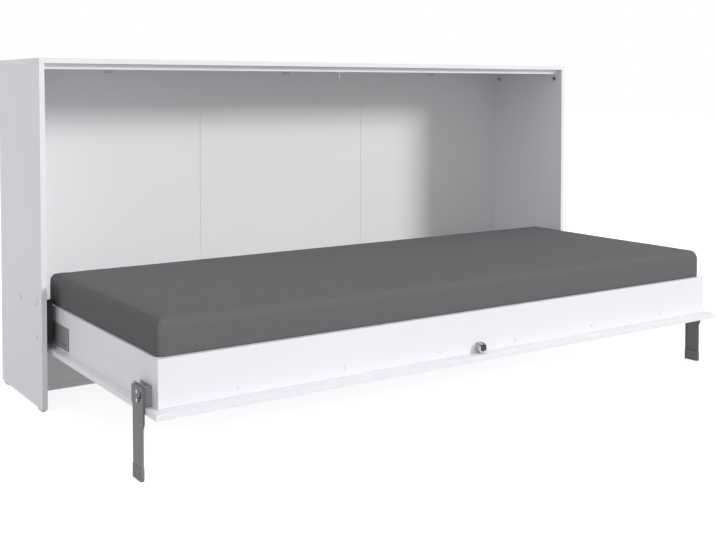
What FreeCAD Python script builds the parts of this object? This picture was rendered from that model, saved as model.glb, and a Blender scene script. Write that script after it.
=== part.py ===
import FreeCAD
import Part
import math
import os

# Horizontal cabinet bed, shown open: a low white board cabinet, and in it a bed that folds
# down about two pivots near the floor and stands on two hinged legs at its front corners.
# Millimetres. +X to the right along the bed, +Y towards the wall, +Z up from the floor.
# The origin is under the middle of the open bed's outline.

# ---- driving dimensions -------------------------------------------------------------------

board = 16.0                  # coated chipboard, every board of the cabinet and the bed

cabinet_height = 1040.0
cabinet_depth = 410.0
glide_height = 8.0
glide_width = 12.0
glide_length = 36.0
glide_inset = 30.0
back_sheet = 3.0
back_hollow = 10.0            # from the back sheets to the wall
groove_depth = 6.0
groove_slack = 0.2            # around a sheet in its groove
back_sheets = 3
strip_width = 14.0            # strips between the back sheets
strip_skin = 0.8
joint_web = 1.6
stiffener_depth = 100.0       # flat board screwed under the top board
stiffener_setback = 24.0
kick_setback = 194.5          # the plinth stands far back, out of the folding bed's way
kick_height = 116.0

cam_radius = 7.5              # cams that draw the top board onto the sides
cam_depth = 12.5
cam_drop = 34.0
cam_setbacks = (42.0, 371.0)
cam_slot = 2.0
cam_slack = 0.1

bracket_width = 30.0          # wall brackets
bracket_steel = 2.0
bracket_drop = 22.0
bracket_depth = 22.0
bracket_pitch = 693.0
wall_hole_radius = 3.25
wall_hole_drop = 13.0

rail_beyond = 4.0             # bed's end rails beyond the mattress, which is squeezed between them
end_gap = 35.0                # between an end rail and the cabinet's side, for the fittings
bed_slack = 3.0               # mattress between the long rails
rail_height = 122.0
panel_bottom = 166.0          # underside of the front board with the bed open
panel_over_end = 20.0
rail_behind_pivot = 73.0
panel_over_rear = 53.0
top_gap = 6.0                 # closed front board to the top board
pivot_setback = 49.0
batten_height = 44.0
batten_width = 22.0
slat_width = 70.0
slat_thickness = 12.0
slat_count = 14
slat_margin = 30.0            # end rail to the first slat
slat_end_gap = 1.0
slat_chamfer = 3.0

mattress_length = 2000.0
mattress_width = 807.0
mattress_rise = 86.0          # above the rails' top edges
mattress_crown = 3.0
mattress_corner = 27.0
mattress_edge = 25.0          # round of the upper edges
mattress_swell = 230.0        # from its sides to the flat of the crown
soft_gap = 0.4

plate = 3.0                   # steel hinge plates
plate_corner = 12.0
cabinet_plate_low = 27.0      # cabinet's plate below and in front of the main pivot
cabinet_plate_nose = 31.0
cabinet_flange = 22.5         # plate's front edge, turned in towards the bed
cabinet_flange_low = 6.0      # its lower end below the main pivot, clear of the turning front board
cabinet_plate_foot = 46.0
cabinet_plate_rim = 17.0      # round the strut's stud
cabinet_plate_rise = 42.0
bed_plate_reach = 136.0       # bed's plate in front of the main pivot
bed_plate_height = 66.0
bed_plate_up = 10.0           # above the front board
bolt_head = 2.0               # bolt heads stand this far out of the cabinet's sides
bolt_head_radius = 9.0
pin_radius = 6.0
bush_radius = 9.0
bush_flange_radius = 15.0
bush_flange = 12.0            # flange between the plates; it keeps the bed in the middle
running_gap = 0.05            # radial, pins and rods in their bores
side_gap = 0.3                # along a pin, beside what turns on it
pin_into_rail = 3.0
stop_height = 103.0           # stop stud above the main pivot
stop_radius = 6.0
stop_short = 4.0              # stop stud ends this far before the bed's plate
tab_length = 26.0
tab_reach = 9.0
strut_anchor_back = 157.0     # strut's cabinet stud behind the main pivot
strut_anchor_up = 97.0
strut_lug_back = 62.0         # strut's bed stud behind the main pivot
strut_lug_down = 20.0
strut_lug_width = 32.0
strut_lug_up = 2.0            # above the front board
stud_radius = 4.0
strut_radius = 11.0
strut_rod_radius = 5.0
strut_eye_radius = 8.0
strut_eye_width = 12.0
strut_rod_shown = 9.0         # rod between the cylinder and its eye, bed open
strut_rod_inside = 100.0

leg_width = 55.0
leg_head_wider = 7.0          # head past the shank, at each edge
leg_head_length = 30.0        # wide part below the pivot, at the rear edge
leg_head_taper = 6.0
leg_nose_length = 75.0        # the same at the front edge
leg_nose_taper = 14.0
leg_head_round = 8.0
leg_sheet = 2.5
leg_flange = 5.6              # the leg is a shallow channel
leg_front_setback = 36.0      # leg's shank behind the front rail's face
leg_pivot_behind = 26.0       # pivot behind the shank's front edge
leg_pivot_up = 34.8           # above the front board's upper face
leg_stop_drop = 21.0          # stop rivet below the leg's pivot
leg_top_up = 14.5             # leg above its pivot
leg_gap = 1.8                 # leg to the front board's end
rivet_head = 1.5
rivet_head_radius = 5.0
rivet_tail = 1.2
shoulder_radius = 7.0         # pivot rivet's shoulder, which carries the leg clear of the bracket
slot_slack = 0.3
leg_bracket_steel = 2.5
leg_bracket_up = 16.5         # above the leg's pivot
leg_bracket_ahead = 26.0      # in front of the leg's pivot
leg_bracket_behind = 41.0     # behind the leg's pivot
leg_bracket_gap = 2.5         # bracket's outer cheek to the leg's flanges
leg_bracket_bend = 2.0
foot_height = 34.0
foot_wall = 0.9
foot_round = 9.0

catch_height = 27.0
catch_up = 4.0                # above the front board's upper face
catch_half_width = 16.0
catch_reach = 16.0
catch_base = 2.0
catch_slot = 2.8              # half the slot between the jaws
roller_radius = 3.2
roller_length = 18.0
roller_gap = 1.0              # half the gap between the rollers
roller_travel = 2.6
roller_slack = 0.4
striker_sheet = 1.5
striker_half_width = 18.0
tongue_width = 14.0
tongue_neck = 0.8             # half thickness
tongue_head = 2.8
tongue_head_length = 4.6

# ---- places worked out from them ------------------------------------------------------------

bed_length = mattress_length + 2 * rail_beyond
cabinet_width = bed_length + 2 * (end_gap + board)
half_width = cabinet_width / 2
side_inner = -half_width + board                     # left side panel's inner face
panel_top = panel_bottom + board
pivot_z = panel_bottom + pivot_setback               # closed, the front board is flush
top_under = cabinet_height - board
reach = top_under - top_gap - pivot_z - pivot_setback
front = (reach - cabinet_depth) / 2                  # cabinet's front plane
back = front + cabinet_depth
pivot_y = front + pivot_setback
sheet_y = back - back_hollow - back_sheet            # room side of the back sheets
base_top = glide_height + board
kick_y = front + kick_setback

panel_front = front - reach
rail_back = pivot_y + rail_behind_pivot
rail_front = rail_back - mattress_width - bed_slack - 2 * board
panel_back = rail_back + panel_over_rear
rail_end = -bed_length / 2                           # left end rail's outer face
inner_end = rail_end + board
inner_front = rail_front + board
inner_back = rail_back - board
panel_end = rail_end - panel_over_end
rail_top = panel_top + rail_height
batten_top = panel_top + batten_height
slat_top = batten_top + slat_thickness
mattress_top = rail_top + mattress_rise

plate_inner = side_inner + plate                     # left cabinet plate's inner face
bed_plate_x = rail_end - plate                       # left bed plate's outer face
strut_x = (plate_inner + bed_plate_x) / 2
pin_end = rail_end + pin_into_rail
leg_x = panel_end - leg_gap - leg_flange             # left leg's outer face
leg_front = rail_front + leg_front_setback
leg_pivot_y = leg_front + leg_pivot_behind
leg_pivot_z = panel_top + leg_pivot_up

X = FreeCAD.Vector(1, 0, 0)
Y = FreeCAD.Vector(0, 1, 0)
Z = FreeCAD.Vector(0, 0, 1)


# ---- small tools ------------------------------------------------------------------------------

def point(x, y, z):
    return FreeCAD.Vector(x, y, z)


def block(xs, ys, zs):
    """A square-edged piece between two values on each axis, in any order."""
    low = point(min(xs), min(ys), min(zs))
    size = [max(pair) - min(pair) for pair in (xs, ys, zs)]
    return Part.makeBox(size[0], size[1], size[2], low)


def bar(start, direction, length, radius):
    return Part.makeCylinder(radius, length, start, direction)


def bore_x(x, y, z, length, radius):
    """A tool for a hole along X that starts just before x and passes its length."""
    return bar(point(x - 1, y, z), X, length + 2, radius)


def flat(points, direction, thickness):
    """A flat piece from the corners of its outline."""
    return Part.Face(Part.makePolygon(points + points[:1])).extrude(direction * thickness)


def sheet_x(corners, x, thickness):
    """A flat piece square to X, from its (y, z) corners."""
    return flat([point(x, y, z) for y, z in corners], X, thickness)


def rounded(solid, radius, chosen):
    """Round those edges along X that the given test picks."""
    edges = [edge for edge in solid.Edges
             if edge.BoundBox.YLength + edge.BoundBox.ZLength < 0.01 and chosen(edge.BoundBox)]
    return solid.makeFillet(radius, edges)


def joined(shapes):
    return shapes[0].multiFuse(shapes[1:]).removeSplitter()


def less(shape, tools):
    return shape.cut(Part.makeCompound(tools))


def mirrored(shape):
    return shape.mirror(point(0, 0, 0), X)


def both(shapes):
    """Pieces of the left end and their mirror images at the right end."""
    return shapes + [mirrored(shape) for shape in shapes]


def save(name, shapes):
    shape = shapes[0] if len(shapes) == 1 else Part.makeCompound(shapes)
    shape.exportStep(os.path.join("parts", name + ".step"))


def save_pair(name, shape):
    save(name + "_left", [shape])
    save(name + "_right", [mirrored(shape)])


# ---- cabinet ------------------------------------------------------------------------------------

groove_ys = (sheet_y - groove_slack, sheet_y + back_sheet + groove_slack)
pivot_spot = (pivot_y, pivot_z)
stop_spot = (pivot_y, pivot_z + stop_height)
anchor_spot = (pivot_y + strut_anchor_back, pivot_z + strut_anchor_up)
bolts = [(pivot_spot, pin_radius), (stop_spot, stop_radius), (anchor_spot, stud_radius)]
cam_spots = [point(side_inner, front + y, top_under - cam_drop) for y in cam_setbacks]
wall_spots = [-bracket_pitch, 0.0, bracket_pitch]


def side_panel():
    """Grooved for the back, with pockets for two cams and holes for three bolts."""
    solid = block((-half_width, side_inner), (front, back), (glide_height, top_under))
    cuts = [block((side_inner - groove_depth, side_inner + 1), groove_ys, (glide_height - 1, top_under + 1))]
    cuts += [bar(spot + X, X * -1, cam_depth + 1 + cam_slack, cam_radius + cam_slack) for spot in cam_spots]
    cuts += [bore_x(-half_width, y, z, board, radius) for (y, z), radius in bolts]
    return less(solid, cuts)


def cam(spot):
    """Zinc cam, flush with the side panel, with a slot for the screwdriver."""
    slot = block((spot.x - cam_slot, spot.x + 1), (spot.y - cam_slot / 2, spot.y + cam_slot / 2),
                 (spot.z - cam_radius + 2, spot.z + cam_radius - 2))
    return bar(spot, X * -1, cam_depth, cam_radius).cut(slot)


def top_panel():
    solid = block((-half_width, half_width), (front, back), (top_under, cabinet_height))
    groove_end = side_inner - groove_depth
    return solid.cut(block((groove_end, -groove_end), groove_ys, (top_under - 1, top_under + groove_depth)))


def top_stiffener():
    depth = (front + stiffener_setback, front + stiffener_setback + stiffener_depth)
    return block((side_inner, -side_inner), depth, (top_under - board, top_under))


def base_board():
    solid = block((side_inner, -side_inner), (kick_y, back), (glide_height, base_top))
    return solid.cut(block((side_inner - 1, -side_inner + 1), groove_ys, (base_top - groove_depth, base_top + 1)))


def kick_board():
    return block((side_inner, -side_inner), (kick_y, kick_y + board), (base_top, base_top + kick_height))


def glides():
    """Plastic glides nailed under the sides and the base board."""
    def glide(x, y):
        xs = (x - glide_width / 2, x + glide_width / 2)
        return block(xs, (y - glide_length / 2, y + glide_length / 2), (0, glide_height))
    side_mid = side_inner - board / 2
    third = cabinet_width / 6
    under_sides = [glide(side_mid, y) for y in (front + glide_inset, back - glide_inset)]
    return both(under_sides + [glide(-third, kick_y + glide_inset)])


back_pitch = -2 * side_inner / back_sheets
back_joints = [side_inner + back_pitch * count for count in range(1, back_sheets)]


def back_panels():
    """The back is cut into sheets that meet in slim H-shaped strips."""
    seam = joint_web / 2 + groove_slack
    outer = side_inner - groove_depth + 1
    lefts = [outer] + [x + seam for x in back_joints]
    rights = [x - seam for x in back_joints] + [-outer]
    zs = (base_top - groove_depth + 1, top_under + groove_depth - 1)
    sheets = []
    for left, right in zip(lefts, rights):
        sheet = block((left, right), (sheet_y, sheet_y + back_sheet), zs)
        holes = [bar(point(x, sheet_y - 1, top_under - wall_hole_drop), Y, back_sheet + 2, wall_hole_radius)
                 for x in wall_spots if left < x < right]
        sheets.append(less(sheet, holes))
    return sheets


def back_joint_strip(x):
    """H-shaped strip: two skins and the web between the sheets."""
    zs = (base_top + groove_slack, top_under - groove_slack)
    xs = (x - strip_width / 2, x + strip_width / 2)
    web = block((x - joint_web / 2, x + joint_web / 2), (sheet_y, sheet_y + back_sheet), zs)
    skins = [block(xs, (y, y + strip_skin), zs) for y in (sheet_y - strip_skin, sheet_y + back_sheet)]
    return joined([web] + skins)


def wall_bracket(x):
    """Steel angle under the top board, with a hole for the screw into the wall."""
    corner_y = sheet_y - bracket_steel
    outline = [(sheet_y, top_under), (sheet_y, top_under - bracket_drop), (corner_y, top_under - bracket_drop),
               (corner_y, top_under - bracket_steel), (sheet_y - bracket_depth, top_under - bracket_steel),
               (sheet_y - bracket_depth, top_under)]
    solid = sheet_x(outline, x - bracket_width / 2, bracket_width)
    start = point(x, corner_y - 1, top_under - wall_hole_drop)
    return less(solid, [bar(start, Y, bracket_steel + 2, wall_hole_radius)])


# ---- hinge plates, bolts and stops -----------------------------------------------------------------

def cabinet_hinge_plate():
    """Steel plate on the cabinet's side, its front edge turned in as a stiffening flange."""
    low = pivot_z - cabinet_plate_low
    high = anchor_spot[1] + cabinet_plate_rim
    rear = anchor_spot[0] + cabinet_plate_rim
    nose = pivot_y - cabinet_plate_nose
    corners = [(nose, low), (pivot_y + cabinet_plate_foot, low), (rear, high - cabinet_plate_rise),
               (rear, high), (nose, high)]
    solid = sheet_x(corners, side_inner, plate)
    solid = rounded(solid, plate_corner, lambda box: box.YMin > rear - 1)
    flange = block((side_inner, side_inner + cabinet_flange), (nose, nose + plate),
                   (pivot_z - cabinet_flange_low, high))
    solid = joined([solid, flange])
    return less(solid, [bore_x(side_inner, y, z, plate, radius) for (y, z), radius in bolts])


def outside_bolt(spot, radius, end):
    """Bolt from outside through a side panel and its plate, as far as end."""
    y, z = spot
    head = bar(point(-half_width - bolt_head, y, z), X, bolt_head, bolt_head_radius)
    return joined([head, bar(point(-half_width, y, z), X, end + half_width, radius)])


def pivot_bush():
    """Black nylon bush pressed into the bed's plate; its flange spaces the bed from the cabinet."""
    start = point(plate_inner + side_gap, pivot_y, pivot_z)
    length = pin_end - start.x
    flange = bar(point(bed_plate_x - bush_flange, pivot_y, pivot_z), X, bush_flange, bush_flange_radius)
    solid = joined([bar(start, X, length, bush_radius), flange])
    return less(solid, [bar(start - X, X, length + 2, pin_radius + running_gap)])


lug_y = pivot_y + strut_lug_back
lug_z = pivot_z - strut_lug_down
bed_plate_front = pivot_y - bed_plate_reach
bed_plate_low = panel_top + bed_plate_up
bed_plate_high = bed_plate_low + bed_plate_height


def bed_hinge_plate():
    """Steel plate on the end rail, with a stud for the strut and a tab for the stop."""
    rear = min(lug_y + strut_lug_width / 3, rail_back)
    lug_low = panel_top + strut_lug_up
    corners = [(bed_plate_front, bed_plate_low), (rear - strut_lug_width, bed_plate_low),
               (rear - 0.75 * strut_lug_width, lug_low), (rear, lug_low), (rear, bed_plate_high),
               (bed_plate_front, bed_plate_high)]
    solid = sheet_x(corners, bed_plate_x, plate)
    tab_top = pivot_z - stop_radius - side_gap
    tab_mid = pivot_y - stop_height
    tab = block((bed_plate_x - tab_reach, bed_plate_x), (tab_mid - tab_length / 2, tab_mid + tab_length / 2),
                (tab_top - plate, tab_top))
    stud_start = strut_x + strut_eye_width / 2 + side_gap
    stud = bar(point(stud_start, lug_y, lug_z), X, bed_plate_x - stud_start, stud_radius)
    return less(joined([solid, tab, stud]), [bore_x(bed_plate_x, pivot_y, pivot_z, plate, bush_radius)])


# ---- gas struts ------------------------------------------------------------------------------------
# The cylinder swings on the cabinet's stud, and its rod pushes the bed's rear edge down.

strut_top = point(strut_x, anchor_spot[0], anchor_spot[1])
strut_foot = point(strut_x, lug_y, lug_z)
strut_line = strut_foot - strut_top
strut_length = strut_line.Length
strut_along = FreeCAD.Vector(strut_line).normalize()
cylinder_start = strut_eye_radius - 1.0
cylinder_length = strut_length - strut_eye_radius - strut_rod_shown - cylinder_start


def with_eye(at, body, bores):
    """Join a flat eye to a strut's end and bore it for its stud."""
    ring = bar(at - X * (strut_eye_width / 2), X, strut_eye_width, strut_eye_radius)
    hole = bar(at - X * strut_eye_width, X, strut_eye_width * 2, stud_radius + running_gap)
    return less(joined([ring, body]), [hole] + bores)


def strut_cylinder():
    start = strut_top + strut_along * cylinder_start
    body = bar(start, strut_along, cylinder_length, strut_radius)
    mouth = strut_foot - strut_along * (strut_eye_radius + strut_rod_shown - 1)
    depth = strut_rod_inside + 3.0
    return with_eye(strut_top, body, [bar(mouth, strut_along * -1, depth, strut_rod_radius + running_gap)])


def strut_rod():
    length = strut_rod_inside + strut_rod_shown + strut_eye_radius
    return with_eye(strut_foot, bar(strut_foot, strut_along * -1, length, strut_rod_radius), [])


# ---- bed --------------------------------------------------------------------------------------

rail_zs = (panel_top, rail_top)
batten_zs = (panel_top, batten_top)


def bed_panel():
    return block((panel_end, -panel_end), (panel_front, panel_back), (panel_bottom, panel_top))


def front_rail():
    return block((rail_end, -rail_end), (rail_front, inner_front), rail_zs)


def rear_rail():
    return block((rail_end, -rail_end), (inner_back, rail_back), rail_zs)


def end_rail():
    """Between the long rails, with a pocket for the pivot's bush and pin."""
    solid = block((rail_end, inner_end), (inner_front, inner_back), rail_zs)
    return less(solid, [bore_x(rail_end, pivot_y, pivot_z, pin_into_rail, bush_radius + cam_slack)])


def long_battens():
    xs = (inner_end, -inner_end)
    return [block(xs, (inner_front, inner_front + batten_width), batten_zs),
            block(xs, (inner_back - batten_width, inner_back), batten_zs)]


def end_battens():
    ys = (inner_front + batten_width, inner_back - batten_width)
    return both([block((inner_end, inner_end + batten_width), ys, batten_zs)])


def slats():
    """Spruce slats across the bed on the battens, their upper edges eased."""
    run = -2 * inner_end - 2 * slat_margin - slat_width
    ys = (inner_front + slat_end_gap, inner_back - slat_end_gap)
    pieces = []
    for count in range(slat_count):
        left = inner_end + slat_margin + run * count / (slat_count - 1)
        slat = block((left, left + slat_width), ys, (batten_top, slat_top))
        upper = [edge for edge in slat.Edges
                 if edge.BoundBox.ZMin > slat_top - 0.01 and edge.BoundBox.YLength > slat_width]
        pieces.append(slat.makeChamfer(slat_chamfer, upper))
    return pieces


def mattress():
    """A foam mattress: pressed in between the rails, full above them, round edged and crowned."""
    ys = (inner_front + bed_slack / 2, inner_back - bed_slack / 2)
    half_x = mattress_length / 2
    waist = rail_top + soft_gap
    squeezed = -inner_end - soft_gap
    below = block((-squeezed, squeezed), ys, (slat_top + soft_gap, waist + 1))
    above = block((-half_x, half_x), ys, (waist, mattress_top))
    upright = [edge for edge in above.Edges if edge.BoundBox.ZLength > 1]
    above = above.makeFillet(mattress_corner, upright)
    upper = [edge for edge in above.Edges if edge.BoundBox.ZMin > mattress_top - 0.01]
    above = above.makeFillet(mattress_edge, upper)

    def tier(inset, z):
        xs = (-half_x + inset, half_x - inset)
        y_low = ys[0] + inset
        y_high = ys[1] - inset
        corners = [(xs[0], y_low), (xs[1], y_low), (xs[1], y_high), (xs[0], y_high), (xs[0], y_low)]
        return Part.makePolygon([point(x, y, z) for x, y in corners])
    low_tier = tier(mattress_corner, mattress_top - mattress_crown)
    crown = Part.makeLoft([low_tier, tier(mattress_swell, mattress_top + mattress_crown)], True, True)
    return joined([below, above, crown])


# ---- catch and striker ----------------------------------------------------------------------------
# Two sprung rollers on the bed's front rail grip a tongue under the cabinet's top.

catch_z = panel_top + catch_up + catch_height / 2
catch_zs = (catch_z - catch_height / 2, catch_z + catch_height / 2)
catch_face = rail_front - catch_base
roller_x = -(roller_gap + roller_radius)
roller_y = catch_face - catch_reach + roller_radius + roller_slack


def catch_body():
    """Two rounded jaws on a base plate, with a pocket for a roller in each."""
    base_half = catch_half_width * 0.65
    base = block((-base_half, base_half), (catch_face, rail_front), catch_zs)
    shoulder = catch_zs[0] + catch_height * 0.3
    bulge_z = catch_zs[0] + catch_height * 0.66
    low = point(-catch_half_width * 0.7, catch_face, catch_zs[0])
    outer = point(-catch_half_width, catch_face, shoulder)
    bulge = point(-catch_half_width * 0.75, catch_face, bulge_z)
    crown = point(-catch_half_width * 0.42, catch_face, catch_zs[1])
    slot_top = point(-catch_slot, catch_face, catch_zs[1])
    slot_low = point(-catch_slot, catch_face, catch_zs[0])
    edges = [Part.makeLine(slot_low, low), Part.makeLine(low, outer), Part.Arc(outer, bulge, crown).toShape(),
             Part.makeLine(crown, slot_top), Part.makeLine(slot_top, slot_low)]
    jaw = Part.Face(Part.Wire(edges)).extrude(Y * -catch_reach)
    pocket_half = roller_length / 2 + roller_slack
    pocket = block((-catch_slot + 1, roller_x - roller_radius - roller_travel - roller_slack),
                   (catch_face - catch_reach - 1, roller_y + roller_radius + roller_slack),
                   (catch_z - pocket_half, catch_z + pocket_half))
    return joined([base] + both([jaw.cut(pocket)]))


def catch_roller():
    return bar(point(roller_x, roller_y, catch_z - roller_length / 2), Z, roller_length, roller_radius)


def striker():
    """Steel tongue with an arrow tip, on a foot under the stiffener."""
    closed_y = pivot_y + catch_z - pivot_z               # where the closed catch comes to lie
    closed_base = pivot_z + pivot_y - catch_face
    under = top_under - board
    neck_top = under - striker_sheet
    tip = closed_base + 2.0
    barb = tip + tongue_head_length
    right = [(0.8, tip), (tongue_head, barb - 0.8), (tongue_neck, barb), (tongue_neck, neck_top)]
    outline = right + [(-x, z) for x, z in reversed(right)]
    ys = (closed_y - tongue_width / 2, closed_y + tongue_width / 2)
    tongue = flat([point(x, ys[0], z) for x, z in outline], Y, tongue_width)
    foot = block((-striker_half_width, striker_half_width), (front + stiffener_setback, ys[1] + 6),
                 (neck_top, under))
    return joined([foot, tongue])


# ---- legs ----------------------------------------------------------------------------------------------------

leg_bracket_x = leg_x + leg_flange + leg_bracket_gap   # outer cheek's outer face
leg_bracket_ys = (leg_pivot_y - leg_bracket_ahead, leg_pivot_y + leg_bracket_behind)
leg_bracket_zs = (panel_top + soft_gap, leg_pivot_z + leg_bracket_up)
inner_cheek_x = rail_end - leg_bracket_steel
rivet_zs = (leg_pivot_z, leg_pivot_z - leg_stop_drop)


def leg_bracket():
    """Steel bracket bent to a U, open to the rear: outer cheek, front web, inner cheek."""
    front_y = leg_bracket_ys[0]
    solid = block((leg_bracket_x, rail_end), leg_bracket_ys, leg_bracket_zs)
    room = block((leg_bracket_x + leg_bracket_steel, inner_cheek_x),
                 (front_y + leg_bracket_steel, leg_bracket_ys[1] + 1),
                 (leg_bracket_zs[0] - 1, leg_bracket_zs[1] + 1))
    bend = [edge for edge in solid.Edges if edge.BoundBox.ZLength > 1
            and edge.BoundBox.YMax < front_y + 0.01 and edge.BoundBox.XMax < inner_cheek_x]
    solid = solid.makeFillet(leg_bracket_bend, bend).cut(room)
    return less(solid, [bore_x(leg_bracket_x, leg_pivot_y, z, leg_bracket_steel, stud_radius) for z in rivet_zs])


def leg_rivet(z, shoulder):
    """From the head outside the leg, through the leg's web, to a tail behind the bracket's cheek."""
    head_start = leg_x - side_gap - rivet_head
    tail_end = leg_bracket_x + leg_bracket_steel + rivet_tail
    parts = [bar(point(head_start, leg_pivot_y, z), X, rivet_head, rivet_head_radius),
             bar(point(head_start, leg_pivot_y, z), X, tail_end - head_start, stud_radius)]
    if shoulder:
        shoulder_start = leg_x + leg_sheet + side_gap
        parts.append(bar(point(shoulder_start, leg_pivot_y, z), X, leg_bracket_x - shoulder_start, shoulder_radius))
    return joined(parts)


def leg_rivets():
    """The leg's pivot, on a shoulder, and the stop in its slot."""
    return both([leg_rivet(rivet_zs[0], True), leg_rivet(rivet_zs[1], False)])


def arc_slot(radius, half_width, start, end, x, thickness):
    """A round-ended slot along an arc about the leg's pivot, angles in degrees from +Y."""
    def spot(distance, degrees):
        angle = math.radians(degrees)
        return point(x, leg_pivot_y + distance * math.cos(angle), leg_pivot_z + distance * math.sin(angle))
    middle = (start + end) / 2
    outer = radius + half_width
    inner = radius - half_width
    edges = [Part.Arc(spot(outer, start), spot(outer, middle), spot(outer, end)),
             Part.LineSegment(spot(outer, end), spot(inner, end)),
             Part.Arc(spot(inner, end), spot(inner, middle), spot(inner, start)),
             Part.LineSegment(spot(inner, start), spot(outer, start))]
    band = Part.Face(Part.Wire([edge.toShape() for edge in edges])).extrude(X * thickness)
    return band.multiFuse([bar(spot(radius, angle), X, thickness, half_width) for angle in (start, end)])


def leg_outline(x, thickness, inset):
    """The leg's side outline, a wide round-cornered head that tapers to the shank."""
    front_y = leg_front + inset
    rear_y = leg_front + leg_width - inset
    head_low = leg_pivot_z - leg_head_length
    nose_low = leg_pivot_z - leg_nose_length
    top = leg_pivot_z + leg_top_up - inset
    corners = [(front_y, inset), (rear_y, inset), (rear_y, head_low - leg_head_taper),
               (rear_y + leg_head_wider, head_low), (rear_y + leg_head_wider, top),
               (front_y - leg_head_wider, top), (front_y - leg_head_wider, nose_low),
               (front_y, nose_low - leg_nose_taper)]
    solid = sheet_x(corners, x, thickness)
    return rounded(solid, leg_head_round - inset, lambda box: box.ZMin > top - 0.01)


def leg_bar():
    """Folded steel leg: a shallow channel with a pivot hole and an arc slot for its stop."""
    solid = leg_outline(leg_x, leg_flange, 0.0)
    hollow = leg_outline(leg_x + leg_sheet, leg_flange, leg_sheet)
    pivot_hole = bore_x(leg_x, leg_pivot_y, leg_pivot_z, leg_sheet, stud_radius + running_gap)
    slot = arc_slot(leg_stop_drop, stud_radius + slot_slack, 180, 270, leg_x - 1, leg_sheet + 2)
    below = block((leg_x - 1, leg_x + leg_flange + 1), (leg_front - 1, leg_front + leg_width + 1), (-1, 2 * foot_wall))
    return less(solid, [hollow, pivot_hole, slot, below])


def foot_cap():
    """Moulded cap pushed over the leg's lower end, round at its front corner."""
    ys = (leg_front - foot_wall, leg_front + leg_width + foot_wall)
    xs = (leg_x - foot_wall, leg_x + leg_flange + foot_wall)
    solid = rounded(block(xs, ys, (0, foot_height)), foot_round,
                    lambda box: box.ZMax < 0.01 and box.YMax < leg_front)
    slack = cam_slack / 2
    socket = block((leg_x - slack, leg_x + leg_flange + slack),
                   (leg_front - slack, leg_front + leg_width + slack), (2 * foot_wall, foot_height + 1))
    return solid.cut(socket)


# ---- write every piece -------------------------------------------------------------------------------------------

os.makedirs("parts", exist_ok=True)

save_pair("side_panel", side_panel())
save("top_panel", [top_panel()])
save("top_stiffener", [top_stiffener()])
for place, sheet in zip(("left", "middle", "right"), back_panels()):
    save("back_panel_" + place, [sheet])
save("back_joint_strips", [back_joint_strip(x) for x in back_joints])
save("base_board", [base_board()])
save("kick_board", [kick_board()])
save("glides", glides())
save("cabinet_cams", both([cam(spot) for spot in cam_spots]))
save("wall_brackets", [wall_bracket(x) for x in wall_spots])
save("striker", [striker()])
save_pair("cabinet_hinge_plate", cabinet_hinge_plate())
save("pivot_pins", both([outside_bolt(pivot_spot, pin_radius, pin_end)]))
save("stop_studs", both([outside_bolt(stop_spot, stop_radius, bed_plate_x - stop_short)]))
save("strut_anchors", both([outside_bolt(anchor_spot, stud_radius, strut_x + strut_eye_width / 2 + 2)]))

save_pair("strut_cylinder", strut_cylinder())
save_pair("strut_rod", strut_rod())

save("bed_panel", [bed_panel()])
save("front_rail", [front_rail()])
save("rear_rail", [rear_rail()])
save_pair("end_rail", end_rail())
save("long_battens", long_battens())
save("end_battens", end_battens())
save("slats", slats())
save_pair("bed_hinge_plate", bed_hinge_plate())
save("pivot_bushes", both([pivot_bush()]))
save("mattress", [mattress()])
save("catch_body", [catch_body()])
save_pair("catch_roller", catch_roller())

save_pair("leg_bracket", leg_bracket())
save("leg_rivets", leg_rivets())
save_pair("leg_bar", leg_bar())
save_pair("foot_cap", foot_cap())
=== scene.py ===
import math
import bmesh
import bpy
from mathutils import Euler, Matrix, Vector


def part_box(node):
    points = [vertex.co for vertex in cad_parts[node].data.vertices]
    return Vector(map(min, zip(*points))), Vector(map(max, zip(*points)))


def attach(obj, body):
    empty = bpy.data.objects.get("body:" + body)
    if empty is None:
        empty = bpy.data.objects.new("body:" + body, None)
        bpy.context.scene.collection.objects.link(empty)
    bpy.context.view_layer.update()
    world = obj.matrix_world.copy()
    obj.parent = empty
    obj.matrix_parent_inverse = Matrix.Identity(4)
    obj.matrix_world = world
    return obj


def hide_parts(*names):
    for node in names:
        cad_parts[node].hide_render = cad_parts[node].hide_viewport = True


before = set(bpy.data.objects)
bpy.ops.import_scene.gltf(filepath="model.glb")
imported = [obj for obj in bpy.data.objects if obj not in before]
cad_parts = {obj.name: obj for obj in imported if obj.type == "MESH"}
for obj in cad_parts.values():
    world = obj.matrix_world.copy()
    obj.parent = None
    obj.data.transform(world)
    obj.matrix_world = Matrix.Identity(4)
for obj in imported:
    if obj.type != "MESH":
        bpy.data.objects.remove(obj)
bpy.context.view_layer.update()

# Horizontal cabinet bed, open. Metres, in the frame of the construction: +X along the bed,
# +Y to the wall, +Z up. The sections follow the order in which the furniture is put together.


# ---- Photographer's place and studio ------------------------------------------------------
# The camera stands off the bed's left front corner, not quite a metre up and tipped two degrees
# down. Its lens is shifted down too, as a view camera's is, so that upright edges look upright.

photo_width = 716               # pixels
focal_length = 1072.0           # pixels
film_width = 36.0               # mm
lens_shift = -0.20              # parts of the picture's width
camera_place = (-2.028, -2.919, 0.952)
camera_tip = 2.07               # degrees down from level
camera_turn = 34.03             # degrees from +Y towards +X

camera_data = bpy.data.cameras.new("camera")
camera_data.sensor_width = film_width
camera_data.lens = film_width * focal_length / photo_width
camera_data.shift_y = lens_shift
camera = bpy.data.objects.new("camera", camera_data)
camera.location = camera_place
camera.rotation_euler = Euler((math.radians(90 - camera_tip), 0, math.radians(-camera_turn)))
bpy.context.scene.collection.objects.link(camera)
bpy.context.scene.camera = camera
bpy.context.scene.view_settings.view_transform = "Standard"


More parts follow.
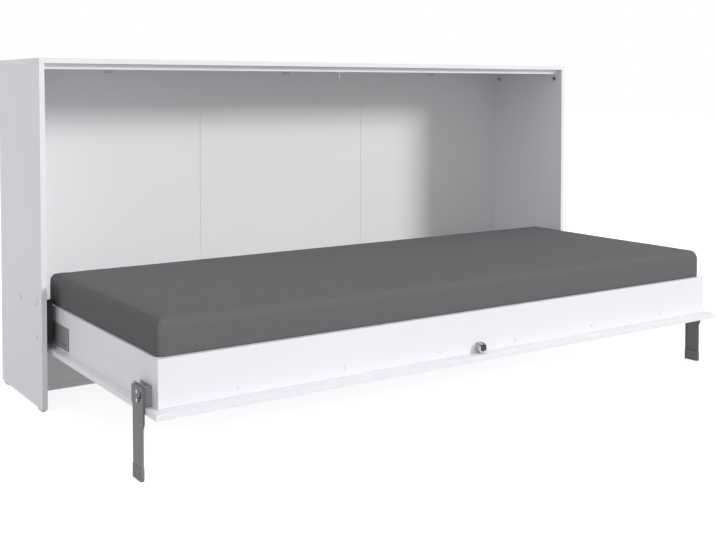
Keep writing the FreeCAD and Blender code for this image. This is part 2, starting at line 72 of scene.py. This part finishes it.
def linear(code):
    """An sRGB hex colour as the linear values that the shader takes."""
    parts = [int(code[i:i + 2], 16) / 255 for i in (1, 3, 5)]
    bent = [p / 12.92 if p <= 0.04045 else ((p + 0.055) / 1.055) ** 2.4 for p in parts]
    return (*bent, 1.0)


def add(tree, kind, inputs=None, **settings):
    """Add a node with its settings; an input is either a value or the socket that feeds it."""
    node = tree.nodes.new(kind)
    for name, value in settings.items():
        setattr(node, name, value)
    for name, value in (inputs or {}).items():
        if isinstance(value, bpy.types.NodeSocket):
            tree.links.new(value, node.inputs[name])
        else:
            node.inputs[name].default_value = value
    return node


def new_object(name, mesh):
    thing = bpy.data.objects.new(name, mesh)
    bpy.context.scene.collection.objects.link(thing)
    return thing


def on_rays(tree, *rays):
    """A socket that is 1 on the kinds of ray named and 0 on all others."""
    path = add(tree, "ShaderNodeLightPath")
    found = path.outputs[rays[0]]
    for ray in rays[1:]:
        both = add(tree, "ShaderNodeMath", {0: found, 1: path.outputs[ray]}, operation="MAXIMUM")
        found = both.outputs[0]
    return found


def studio_floor(reach, seen_glow, light_glow):
    """Seamless pale floor: white to the camera where nothing shades it; it throws soft light up."""
    material = bpy.data.materials.new("seamless paper")
    material.use_nodes = True
    tree = material.node_tree
    tree.nodes.clear()
    seen = on_rays(tree, "Is Camera Ray", "Is Glossy Ray")
    paper = add(tree, "ShaderNodeBsdfDiffuse", {"Color": linear("#B9B9BB")})
    sides = []
    for strength in (light_glow, seen_glow):
        glow = add(tree, "ShaderNodeEmission", {"Color": linear("#FFFFFF"), "Strength": strength})
        lit = add(tree, "ShaderNodeAddShader", {0: paper.outputs[0], 1: glow.outputs[0]})
        sides.append(lit.outputs[0])
    mixed = add(tree, "ShaderNodeMixShader", {0: seen, 1: sides[0], 2: sides[1]})
    add(tree, "ShaderNodeOutputMaterial", {"Surface": mixed.outputs[0]})
    mesh = bpy.data.meshes.new("floor")
    corners = [(-reach, -reach, 0), (reach, -reach, 0), (reach, reach, 0), (-reach, reach, 0)]
    mesh.from_pydata(corners, [], [(0, 1, 2, 3)])
    mesh.materials.append(material)
    new_object("floor", mesh)


def studio_light(name, travel, strength, width_degrees):
    lamp = bpy.data.lights.new(name, "SUN")
    lamp.energy = strength
    lamp.angle = math.radians(width_degrees)
    thing = bpy.data.objects.new(name, lamp)
    thing.rotation_euler = Vector(travel).to_track_quat("-Z", "Y").to_euler()
    bpy.context.scene.collection.objects.link(thing)


def studio_walls(strength):
    """The room: white where it is seen, and an even soft light on the object."""
    world = bpy.data.worlds.new("studio")
    world.use_nodes = True
    tree = world.node_tree
    tree.nodes.clear()
    seen = on_rays(tree, "Is Camera Ray", "Is Glossy Ray", "Is Transmission Ray")
    light = add(tree, "ShaderNodeBackground", {"Color": linear("#FFFFFF"), "Strength": strength})
    white = add(tree, "ShaderNodeBackground", {"Color": linear("#FFFFFF"), "Strength": 1.0})
    mixed = add(tree, "ShaderNodeMixShader", {0: seen, 1: light.outputs[0], 2: white.outputs[0]})
    add(tree, "ShaderNodeOutputWorld", {"Surface": mixed.outputs[0]})
    bpy.context.scene.world = world


studio_floor(reach=30, seen_glow=0.80, light_glow=0.14)
studio_walls(strength=0.55)
studio_light("key light", travel=(-0.704, 0.66, -0.303), strength=2.0, width_degrees=13)
studio_light("fill light", travel=(0.94, 0.25, -0.20), strength=0.30, width_degrees=60)
studio_light("overhead light", travel=(0.05, 0.12, -1.0), strength=0.35, width_degrees=60)


# ---- Cabinet boards -----------------------------------------------------------------------
# White melamine-faced chipboard, 16 mm, with a thin plastic edging ironed on all round. The
# boards are drawn again over the construction's, with the edging's eased corners.

edging_round = 0.0009
smooth_area = 0.01              # square metres; smaller faces are the eased edges
looks_along = 0.5               # a face looks along an axis if its normal's part there is past this


def surface(name, colour, roughness, **sockets):
    """A material with one shader; returned with its tree, shader and the object's coordinates."""
    material = bpy.data.materials.new(name)
    material.use_nodes = True
    tree = material.node_tree
    tree.nodes.clear()
    shader = add(tree, "ShaderNodeBsdfPrincipled",
                 {"Base Color": linear(colour), "Roughness": roughness})
    for socket, value in sockets.items():
        shader.inputs[socket.replace("_", " ")].default_value = value
    add(tree, "ShaderNodeOutputMaterial", {"Surface": shader.outputs[0]})
    place = add(tree, "ShaderNodeTexCoord").outputs["Object"]
    return material, tree, shader, place


def mottle(tree, place, shader, dark, light, size, detail=3.0):
    """Cloud the colour gently between two tones; size is a cloud's width in metres."""
    cloud = add(tree, "ShaderNodeTexNoise", {"Vector": place, "Scale": 1 / size, "Detail": detail})
    tones = add(tree, "ShaderNodeMix", {0: cloud.outputs["Fac"], 6: linear(dark), 7: linear(light)},
                data_type="RGBA")
    tree.links.new(tones.outputs[2], shader.inputs["Base Color"])


def roughen(tree, place, shader, low, high, size):
    """Let the gloss vary a little, as handling and moulding leave it."""
    cloud = add(tree, "ShaderNodeTexNoise", {"Vector": place, "Scale": 1 / size, "Detail": 4.0})
    span = add(tree, "ShaderNodeMapRange",
               {"Value": cloud.outputs["Fac"], "To Min": low, "To Max": high})
    tree.links.new(span.outputs["Result"], shader.inputs["Roughness"])


def grain(tree, place, shader, size, depth):
    """A fine bump; size is its pitch and depth its height, both in metres."""
    pits = add(tree, "ShaderNodeTexNoise", {"Vector": place, "Scale": 1 / size, "Detail": 2.0})
    bump = add(tree, "ShaderNodeBump",
               {"Height": pits.outputs["Fac"], "Distance": depth, "Strength": 1.0})
    tree.links.new(bump.outputs["Normal"], shader.inputs["Normal"])


def melamine(name, dark, light):
    """Melamine-faced chipboard: an even white with a fine pearl press texture and a low sheen."""
    material, tree, shader, place = surface(name, dark, roughness=0.42)
    mottle(tree, place, shader, dark, light, size=0.35)
    roughen(tree, place, shader, low=0.36, high=0.50, size=0.12)
    # A real pearl texture is about 0.5 mm wide, too fine to show, so it is drawn coarser.
    grain(tree, place, shader, size=0.0016, depth=0.00007)
    return material


def edging(name, dark, light):
    """ABS edging: a shade brighter and glossier than the face, with faint marks of its trimming."""
    material, tree, shader, place = surface(name, dark, roughness=0.30)
    mottle(tree, place, shader, dark, light, size=0.06)
    roughen(tree, place, shader, low=0.24, high=0.38, size=0.03)
    return material


board_face = melamine("white melamine board", "#EAE9EE", "#EEEDF3")
# The kick and base boards are the same melamine. Their neutral tint is painted shade colour, as
# they look in the shade under the bed.
shade_tinted_face = melamine("melamine tinted for the shade under the bed", "#E9E9E7", "#EDEDEB")
board_edge = edging("abs edging", "#EBEAEE", "#F1F0F4")
# The stiffener's edging is the same ABS drawn lighter: painted light against the shade of the top
# board above it.
painted_light_edge = edging("abs edging lightened against shade", "#F8F8FA", "#FCFCFD")


def block(low, high):
    """A rectangular block between two corners."""
    shape = bmesh.new()
    bmesh.ops.create_cube(shape, size=1.0)
    for vertex in shape.verts:
        vertex.co = Vector([(low[i] + high[i]) / 2 + vertex.co[i] * (high[i] - low[i])
                            for i in range(3)])
    return shape


def ease(shape, edges, radius, steps, **settings):
    bmesh.ops.bevel(shape, geom=edges, offset=radius, segments=steps, profile=0.5, affect="EDGES",
                    **settings)


def as_mesh(shape, name, *finishes):
    mesh = bpy.data.meshes.new(name)
    shape.to_mesh(mesh)
    shape.free()
    for finish in finishes:
        mesh.materials.append(finish)
    return mesh


def board(node, body, thin, face_finish, edge_finish=None):
    """Draw a board over its node's box: melamine on the two faces square to its thin way."""
    shape = block(*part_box(node))
    ease(shape, shape.edges[:], edging_round, 2)
    mesh = as_mesh(shape, node + "_board", edge_finish or board_edge, face_finish)
    for face in mesh.polygons:
        face.material_index = 1 if abs(face.normal[thin]) > looks_along else 0
        face.use_smooth = face.area < smooth_area
    piece = new_object(node + "_board", mesh)
    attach(piece, body)
    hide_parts(node)


for node, thin in (("side_panel_left", 0), ("side_panel_right", 0), ("top_panel", 2)):
    board(node, "cabinet", thin, board_face)
# The stiffener's front edge gets the lightened edging: painted light in the top's shade.
board("top_stiffener", "cabinet", 2, board_face, painted_light_edge)
for node, thin in (("kick_board", 1), ("base_board", 2)):
    board(node, "cabinet", thin, shade_tinted_face)


# ---- Cabinet back -------------------------------------------------------------------------
# Three sheets of lacquered hardboard slid down the grooves; plastic H strips hold the seams.
# The room side is white, the wall side is bare brown board.


def back_lacquer():
    """Lacquered hardboard: a flat greyish white, faintly uneven from the rollers."""
    material, tree, shader, place = surface("lacquered hardboard", "#EBEBEC", roughness=0.55)
    mottle(tree, place, shader, "#E9E9EA", "#EDEDEE", size=0.5)
    grain(tree, place, shader, size=0.004, depth=0.0001)
    return material


def hardboard_rear():
    """Bare hardboard: brown, with the pressed mesh pattern of its rough side."""
    material, tree, shader, place = surface("bare hardboard", "#9A7B5C", roughness=0.85)
    mottle(tree, place, shader, "#8E7050", "#A68765", size=0.02, detail=6.0)
    grain(tree, place, shader, size=0.003, depth=0.0004)
    return material


def seam_plastic():
    """Extruded PVC: white, smooth, a little glossier than the back."""
    material, tree, shader, place = surface("extruded pvc", "#EAEAEB", roughness=0.5)
    mottle(tree, place, shader, "#E8E8E9", "#ECECED", size=0.1)
    return material


def finish_node(node, material):
    """Give a piece of the construction its material."""
    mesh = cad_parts[node].data
    mesh.materials.clear()
    mesh.materials.append(material)


def back_sheet(node):
    """A sheet of the back: lacquered on the face that looks into the room, bare elsewhere."""
    mesh = as_mesh(block(*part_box(node)), node + "_sheet", lacquered, bare_back)
    for face in mesh.polygons:
        face.material_index = 0 if face.normal.y < -looks_along else 1
    piece = new_object(node + "_sheet", mesh)
    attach(piece, "cabinet")
    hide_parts(node)


lacquered = back_lacquer()
bare_back = hardboard_rear()
for node in ("back_panel_left", "back_panel_middle", "back_panel_right"):
    back_sheet(node)
finish_node("back_joint_strips", seam_plastic())


# ---- Cams, wall brackets, striker, glides ----------------------------------------------------
# Die-cast cams pull the top onto the sides; pressed angles under the top hold the cabinet to
# the wall; the striker's tongue is what the bed's catch snaps onto; plastic glides carry it all.


def zinc_plate(name, tone, roughness, metallic=0.9):
    """Zinc-plated steel: a bluish pale metal with the soft spangle of the bath."""
    material, tree, shader, place = surface(name, tone, roughness, Metallic=metallic)
    roughen(tree, place, shader, low=roughness - 0.08, high=roughness + 0.1, size=0.004)
    grain(tree, place, shader, size=0.001, depth=0.00004)
    return material


def moulded(name, dark, light, roughness, gloss=0.5):
    """Moulded plastic: even colour, a fine spark-eroded skin and a soft gloss."""
    material, tree, shader, place = surface(name, dark, roughness, Specular_IOR_Level=gloss)
    mottle(tree, place, shader, dark, light, size=0.01)
    grain(tree, place, shader, size=0.0008, depth=0.00006)
    return material


head_widths = (0.0020, 0.0040)  # only the arrow head's faces lie this far to each side
head_slack = 0.0002


def slim_striker(finish):
    """The striker again, its arrow head a little slimmer than the slot that it snaps into."""
    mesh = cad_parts["striker"].data.copy()
    for vertex in mesh.vertices:
        if head_widths[0] < abs(vertex.co.x) < head_widths[1]:
            vertex.co.x -= math.copysign(head_slack, vertex.co.x)
    mesh.materials.clear()
    mesh.materials.append(finish)
    piece = new_object("striker_plate", mesh)
    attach(piece, "cabinet")
    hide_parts("striker")


zinc = zinc_plate("zinc-plated steel", "#C2C4C9", roughness=0.34)
dull_zinc = zinc_plate("dull zinc plate", "#D3D4D6", roughness=0.6, metallic=0.1)
white_nylon = moulded("moulded nylon", "#DEDEDF", "#E8E8E9", roughness=0.45)
finish_node("cabinet_cams", zinc_plate("die-cast zinc", "#A9AAAF", roughness=0.42))
finish_node("wall_brackets", dull_zinc)
slim_striker(dull_zinc)
finish_node("glides", white_nylon)


head_sides = 28
rim_part = 0.6                  # of the head's height; a low cone is the rest
cone_top = 0.72                 # of the head's radius
bar_length, bar_width = 1.1, 0.26       # of the head's radius
bar_depth, bar_level = 0.2, 0.93        # of the head's height


def head_tree():
    """Fastener heads on points: a rim and a low cone, with a cross recess as two bars in painted
    shade.
    """
    tree = bpy.data.node_groups.new("fastener heads", "GeometryNodeTree")
    for name, kind in (("Geometry", "Geometry"), ("Radius", "Float"), ("Height", "Float"),
                       ("Recess", "Float"), ("Facing", "Vector"), ("Head", "Material"),
                       ("Recess shade", "Material")):
        tree.interface.new_socket(name, in_out="INPUT", socket_type="NodeSocket" + kind)
    tree.interface.new_socket("Geometry", in_out="OUTPUT", socket_type="NodeSocketGeometry")
    given = add(tree, "NodeGroupInput")

    def times(a, b):
        return add(tree, "ShaderNodeMath", {0: a, 1: b}, operation="MULTIPLY").outputs[0]

    def lifted(geometry, height):
        at = add(tree, "ShaderNodeCombineXYZ", {"Z": height})
        moved = add(tree, "GeometryNodeTransform",
                    {"Geometry": geometry, "Translation": at.outputs[0]})
        return moved.outputs[0]

    radius, height, recess = (given.outputs[name] for name in ("Radius", "Height", "Recess"))
    rim = add(tree, "GeometryNodeMeshCylinder",
              {"Vertices": head_sides, "Radius": radius, "Depth": times(height, rim_part)})
    dome = add(tree, "GeometryNodeMeshCone",
               {"Vertices": head_sides, "Radius Bottom": radius,
                "Radius Top": times(radius, cone_top), "Depth": times(height, 1 - rim_part)})
    head = add(tree, "GeometryNodeJoinGeometry")
    tree.links.new(lifted(dome.outputs[0], times(height, rim_part)), head.inputs[0])
    tree.links.new(lifted(rim.outputs[0], times(height, rim_part / 2)), head.inputs[0])
    painted = add(tree, "GeometryNodeSetMaterial",
                  {"Geometry": head.outputs[0], "Material": given.outputs["Head"]})
    long_side, short_side = times(radius, bar_length), times(radius, bar_width)
    whole = add(tree, "GeometryNodeJoinGeometry")
    for sizes in ((long_side, short_side), (short_side, long_side)):
        size = add(tree, "ShaderNodeCombineXYZ",
                   {"X": times(sizes[0], recess), "Y": times(sizes[1], recess),
                    "Z": times(times(height, bar_depth), recess)})
        bar = add(tree, "GeometryNodeMeshCube", {"Size": size.outputs[0]})
        dark = add(tree, "GeometryNodeSetMaterial",
                   {"Geometry": lifted(bar.outputs[0], times(height, bar_level)),
                    "Material": given.outputs["Recess shade"]})
        tree.links.new(dark.outputs[0], whole.inputs[0])
    tree.links.new(painted.outputs[0], whole.inputs[0])
    points = add(tree, "GeometryNodeMeshToPoints", {"Mesh": given.outputs["Geometry"]})
    placed = add(tree, "GeometryNodeInstanceOnPoints",
                 {"Points": points.outputs[0], "Instance": whole.outputs[0],
                  "Rotation": given.outputs["Facing"]})
    real = add(tree, "GeometryNodeRealizeInstances", {"Geometry": placed.outputs[0]})
    add(tree, "NodeGroupOutput", {"Geometry": real.outputs[0]})
    return tree


def recess_shadow():
    """The bottom of a screw's recess: steel in its own shade, so nearly black."""
    material, tree, shader, place = surface("recess in shade", "#3A3A3C",
                                            roughness=0.6, Metallic=0.6)
    mottle(tree, place, shader, "#2E2E30", "#444446", size=0.002)
    return material


heads = head_tree()
# The recess bars are painted shade: nearly black, as the recess lies in its own shade.
painted_recess_shade = recess_shadow()
towards = {"-X": (0, -math.pi / 2, 0), "+X": (0, math.pi / 2, 0), "-Y": (math.pi / 2, 0, 0),
           "-Z": (math.pi, 0, 0)}
head_height = 0.0014
no_recess = 0.001               # shrinks the bars away inside the head


def fasteners(name, body, spots, facing, radius, finish, recess=1.0):
    """Put a head on each spot, bake the row to a plain mesh, and fix it to its body."""
    mesh = bpy.data.meshes.new(name + "_spots")
    mesh.from_pydata([tuple(spot) for spot in spots], [], [])
    carrier = new_object(name + "_spots", mesh)
    modifier = carrier.modifiers.new("heads", "NODES")
    modifier.node_group = heads
    values = {"Radius": radius, "Height": head_height, "Recess": recess,
              "Facing": towards[facing], "Head": finish, "Recess shade": painted_recess_shade}
    for item in heads.interface.items_tree:
        if item.in_out == "INPUT" and item.name in values:
            modifier[item.identifier] = values[item.name]
    bpy.context.view_layer.update()
    evaluated = carrier.evaluated_get(bpy.context.evaluated_depsgraph_get())
    baked = bpy.data.meshes.new_from_object(evaluated)
    baked.name = name
    bpy.data.objects.remove(carrier)
    piece = new_object(name, baked)
    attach(piece, body)


bracket_low, bracket_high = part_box("wall_brackets")
bracket_xs = (-0.693, 0.0, 0.693)
bracket_sheet = 0.002
bracket_screw_in = 0.010        # from the bracket's front edge
bracket_screw_radius = 0.0032
bracket_screw_y = bracket_low[1] + bracket_screw_in
bracket_screw_z = bracket_high[2] - bracket_sheet
fasteners("bracket_screws", "cabinet", [(x, bracket_screw_y, bracket_screw_z) for x in bracket_xs],
          "-Z", bracket_screw_radius, dull_zinc)


# ---- Hinge plates, pivots, stops and struts ---------------------------------------------------
# Pressed steel plates bolted through the sides, black on the cabinet and grey on the bed. A gas
# strut on each side balances the bed: a black enamelled cylinder and a hard-chromed rod.


def black_coat():
    """Black e-coat: thin and dull, so the plate's faces stay very dark and even."""
    material, tree, shader, place = surface("black e-coat", "#1D1D1F", roughness=0.55)
    mottle(tree, place, shader, "#19191B", "#242426", size=0.02)
    grain(tree, place, shader, size=0.001, depth=0.00006)
    return material


side_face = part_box("side_panel_right")[1][0]
face_slack = 0.0001


def painted_heads(node, paint):
    """The bolts' heads outside the cabinet's sides are painted like the boards."""
    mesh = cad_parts[node].data
    mesh.materials.append(paint)
    for face in mesh.polygons:
        if abs(face.center.x) > side_face - face_slack:
            face.material_index = 1


def dark_plate():
    """Phosphated steel: a cloudy, slightly metallic grey beside the even powder coat."""
    material, tree, shader, place = surface("phosphated steel", "#8A8B8D",
                                            roughness=0.5, Metallic=0.2)
    mottle(tree, place, shader, "#838486", "#919294", size=0.015, detail=5.0)
    grain(tree, place, shader, size=0.001, depth=0.00008)
    return material


def strut_enamel():
    """Baked black enamel: deep, with a clear coat's soft highlight."""
    material, tree, shader, place = surface("black enamel", "#141416", roughness=0.35,
                                            Coat_Weight=0.4, Coat_Roughness=0.2)
    mottle(tree, place, shader, "#101012", "#1A1A1C", size=0.03)
    return material


def hard_chrome():
    """Hard chrome: a neutral mirror with the ground rod's faint rings."""
    material, tree, shader, place = surface("hard chrome", "#C9CBCE", roughness=0.14, Metallic=1.0)
    roughen(tree, place, shader, low=0.1, high=0.2, size=0.002)
    return material


hinge_steel = dark_plate()
screw_zinc = zinc_plate("aged zinc plate", "#9A9B9F", roughness=0.45)
black_steel = black_coat()
head_paint = moulded("painted bolt head", "#E4E3E9", "#EAE9EF", roughness=0.4)
enamel = strut_enamel()
chrome = hard_chrome()
for side in ("left", "right"):
    finish_node("cabinet_hinge_plate_" + side, black_steel)
    finish_node("bed_hinge_plate_" + side, hinge_steel)
    finish_node("strut_cylinder_" + side, enamel)
    finish_node("strut_rod_" + side, chrome)
for node in ("pivot_pins", "stop_studs", "strut_anchors"):
    finish_node(node, zinc)
    painted_heads(node, head_paint)
finish_node("pivot_bushes", moulded("black nylon", "#161617", "#202021", roughness=0.5))

rail_low, rail_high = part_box("end_rail_left")
plate_sheet = 0.003
plate_face = rail_low[0] - plate_sheet
hinge_screws = ((0.168, 0.206), (0.101, 0.243), (0.270, 0.243))     # Y and Z
hinge_screw_radius = 0.004
ends = (("left", 1, "-X"), ("right", -1, "+X"))
for side, sign, facing in ends:
    fasteners("hinge_screws_" + side, "bed", [(sign * plate_face, y, z) for y, z in hinge_screws],
              facing, hinge_screw_radius, screw_zinc)


# ---- Bed boards, slats and cover caps ---------------------------------------------------------
# The bed is the cabinet's front board with four rails on it. Battens inside carry spruce slats.
# White caps cover the screws that hold the battens.


def spruce():
    """Planed spruce: pale straw with fine growth lines along it and the odd darker streak."""
    material, tree, shader, place = surface("planed spruce", "#D9BE90", roughness=0.55)
    stretch = add(tree, "ShaderNodeMapping", {"Vector": place, "Scale": (0.04, 1.0, 1.0)})
    # A scale of 70 sets the growth lines 4.5 mm apart.
    rings = add(tree, "ShaderNodeTexWave",
                {"Vector": stretch.outputs[0], "Scale": 70.0, "Distortion": 3.0, "Detail": 3.0,
                 "Detail Scale": 0.6}, bands_direction="Y")
    tones = add(tree, "ShaderNodeMix",
                {0: rings.outputs["Fac"], 6: linear("#DFC69A"), 7: linear("#CBAA78")},
                data_type="RGBA")
    tree.links.new(tones.outputs[2], shader.inputs["Base Color"])
    return material


for node, thin in (("bed_panel", 2), ("front_rail", 1), ("rear_rail", 1),
                   ("end_rail_left", 0), ("end_rail_right", 0)):
    board(node, "bed", thin, board_face)
wood = spruce()
for node in ("long_battens", "end_battens", "slats"):
    finish_node(node, wood)

front_low, front_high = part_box("front_rail")
cap_radius = 0.0055
cap_rise = 0.022                # from the front board's inner face
cap_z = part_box("bed_panel")[1][2] + cap_rise
front_cap_xs = (0.1425, 0.4645, 0.7865)
end_cap_y = -0.202
white_cap = moulded("moulded polypropylene", "#E4E4E9", "#EAEAEF", roughness=0.35)
fasteners("front_caps", "bed",
          [(sign * x, front_low[1], cap_z) for x in front_cap_xs for sign in (-1, 1)],
          "-Y", cap_radius, white_cap, no_recess)
for side, sign, facing in ends:
    fasteners("end_caps_" + side, "bed", [(sign * rail_low[0], end_cap_y, cap_z)],
              facing, cap_radius, white_cap, no_recess)


# ---- Catch ------------------------------------------------------------------------------------
# A die-cast body with two jaws, screwed to the front rail; a sprung steel roller in each jaw.


def shaded_roller_paint():
    """Hardened rollers painted dark with the shade and dark reflection of the jaws' pockets, with a
    soft metal glint along them.
    """
    material, tree, shader, place = surface("roller steel darkened for shade", "#56585D", roughness=0.32, Metallic=0.8)
    mottle(tree, place, shader, "#505257", "#5E6065", size=0.002)
    return material


finish_node("catch_body", zinc_plate("nickelled die casting", "#C0C1C4", roughness=0.36))
# The rollers are polished chrome. Their dark colour is painted shade and reflection from inside the
# jaws.
dark_rollers_in_shade = shaded_roller_paint()
finish_node("catch_roller_left", dark_rollers_in_shade)
finish_node("catch_roller_right", dark_rollers_in_shade)


# ---- Legs -------------------------------------------------------------------------------------
# Shallow pressed channels, powder coated, hung on the outside of bent brackets and pushed into
# plastic feet. Two bright rivets hold each: the pivot, and the stop that the slot runs on.


def powder_coat(name, dark, light):
    """Powder coat: mid grey, with the coating's faint orange peel and a satin gloss."""
    material, tree, shader, place = surface(name, dark, roughness=0.5, Specular_IOR_Level=0.22)
    mottle(tree, place, shader, dark, light, size=0.05)
    roughen(tree, place, shader, low=0.36, high=0.5, size=0.01)
    grain(tree, place, shader, size=0.0012, depth=0.0001)
    return material


grey_coat = powder_coat("grey powder coat", "#787879", "#808082")
# The brackets carry the legs' grey coat, drawn paler: painted light against the shadow that the
# front rail casts on them.
shade_lightened_coat = powder_coat("grey powder coat lightened against shade", "#9E9EA0", "#A6A6A8")
foot_plastic = moulded("moulded polyamide", "#7A7A7C", "#828284", roughness=0.55, gloss=0.22)
for side in ("left", "right"):
    finish_node("leg_bar_" + side, grey_coat)
    finish_node("leg_bracket_" + side, shade_lightened_coat)
    finish_node("foot_cap_" + side, foot_plastic)
finish_node("leg_rivets", zinc)


# ---- Mattress ---------------------------------------------------------------------------------
# A foam mattress in a plain knitted cover, pressed in between the rails. Its upper edges are
# round, and the cover stands slightly full over the foam.

rib_pitch = 0.0035
wave_turns = 20                 # radians per metre that the wave pattern turns at a scale of 1
voxel = 0.010
crown = 0.003                   # the start's top is this much lower, for the swell
start_outset = 0.003            # the start stands this far outside the foam's box
foot_lift = 0.001
level_slack = 0.00001
upright_round = 0.003
upper_round = 0.022
cover_pressure = 4.0
cover_stiffness = 25.0
cover_frames = 20
swell_cap = 0.005
rail_gap = (0.0005, 0.0006, 0.0004)     # along X and Y, and over the rails' tops
end_swell = 0.005               # the ends stay within this distance of the foam's box


def knitted_cover():
    """Knitted polyester: dark grey with fine even ribs and a very slight sheen at a low angle."""
    material, tree, shader, place = surface("knitted polyester", "#686869", roughness=0.9,
                                            Sheen_Weight=0.02, Sheen_Roughness=0.5,
                                            Specular_IOR_Level=0.12)
    mottle(tree, place, shader, "#646465", "#6C6C6D", size=0.006, detail=4.0)
    rib_scale = 2 * math.pi / (wave_turns * rib_pitch)
    waves = []
    for direction in ("X", "DIAGONAL"):
        wave = add(tree, "ShaderNodeTexWave",
                   {"Vector": place, "Scale": rib_scale, "Distortion": 0.6},
                   bands_direction=direction)
        waves.append(wave.outputs["Fac"])
    ribs = add(tree, "ShaderNodeMath", {0: waves[0], 1: waves[1]}, operation="ADD")
    bump = add(tree, "ShaderNodeBump",
               {"Height": ribs.outputs[0], "Distance": 0.0002, "Strength": 0.5})
    tree.links.new(bump.outputs["Normal"], shader.inputs["Normal"])
    return material


def mattress_start():
    """The foam before it fills its cover: a block with round edges, the upper ones the most."""
    low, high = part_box("mattress")
    top = high[2] - crown + start_outset
    shape = block(Vector((low[0] - start_outset, low[1] - start_outset, low[2] + foot_lift)),
                  Vector((high[0] + start_outset, high[1] + start_outset, top)))
    uprights = [edge for edge in shape.edges if edge.verts[0].co.z != edge.verts[1].co.z]
    ease(shape, uprights, upright_round, 4)
    uppers = [edge for edge in shape.edges
              if min(edge.verts[0].co.z, edge.verts[1].co.z) > top - level_slack]
    ease(shape, uppers, upper_round, 5, clamp_overlap=False)
    return as_mesh(shape, "mattress_cover")


def run_modifier(thing):
    """Replace a piece's mesh with what its modifiers make of it, and drop them."""
    evaluated = thing.evaluated_get(bpy.context.evaluated_depsgraph_get())
    made = bpy.data.meshes.new_from_object(evaluated)
    thing.modifiers.clear()
    thing.data = made


def fill_cover(thing):
    """Blow the cover out over the foam for a moment, and cap how far any point may go."""
    before = [vertex.co.copy() for vertex in thing.data.vertices]
    cloth = thing.modifiers.new("cloth", "CLOTH")
    cloth.settings.effector_weights.gravity = 0.0
    cloth.settings.use_pressure = True
    cloth.settings.uniform_pressure_force = cover_pressure
    cloth.settings.quality = 4
    cloth.settings.tension_stiffness = cover_stiffness
    cloth.settings.compression_stiffness = cover_stiffness
    cloth.collision_settings.use_self_collision = False
    cloth.point_cache.frame_start = 1
    cloth.point_cache.frame_end = cover_frames
    scene = bpy.context.scene
    for number in range(1, cover_frames + 1):
        scene.frame_set(number)
    run_modifier(thing)
    scene.frame_set(1)
    for vertex, start in zip(thing.data.vertices, before):
        moved = vertex.co - start
        if moved.length > swell_cap:
            vertex.co = start + moved.normalized() * swell_cap


def keep_in_rails(thing):
    """Below the rails' tops the foam stays between them, and it rests flat on the slats."""
    low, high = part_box("mattress")
    inner_x = -rail_high[0] - rail_gap[0]
    inner_y = (front_high[1] + rail_gap[1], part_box("rear_rail")[0][1] - rail_gap[1])
    rail_top = rail_high[2] + rail_gap[2]
    for vertex in thing.data.vertices:
        vertex.co.z = max(vertex.co.z, low[2])
        if vertex.co.z < rail_top:
            vertex.co.x = min(max(vertex.co.x, -inner_x), inner_x)
            vertex.co.y = min(max(vertex.co.y, inner_y[0]), inner_y[1])
        vertex.co.x = min(max(vertex.co.x, low[0] - end_swell), high[0] + end_swell)


mattress = new_object("mattress_cover", mattress_start())
remesh = mattress.modifiers.new("remesh", "REMESH")
remesh.mode = "VOXEL"
remesh.voxel_size = voxel
run_modifier(mattress)
fill_cover(mattress)
keep_in_rails(mattress)
mattress.data.materials.clear()
mattress.data.materials.append(knitted_cover())
for face in mattress.data.polygons:
    face.use_smooth = True
smooth = mattress.modifiers.new("subdivision", "SUBSURF")
smooth.levels = 1
smooth.render_levels = 1
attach(mattress, "bed")
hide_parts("mattress")
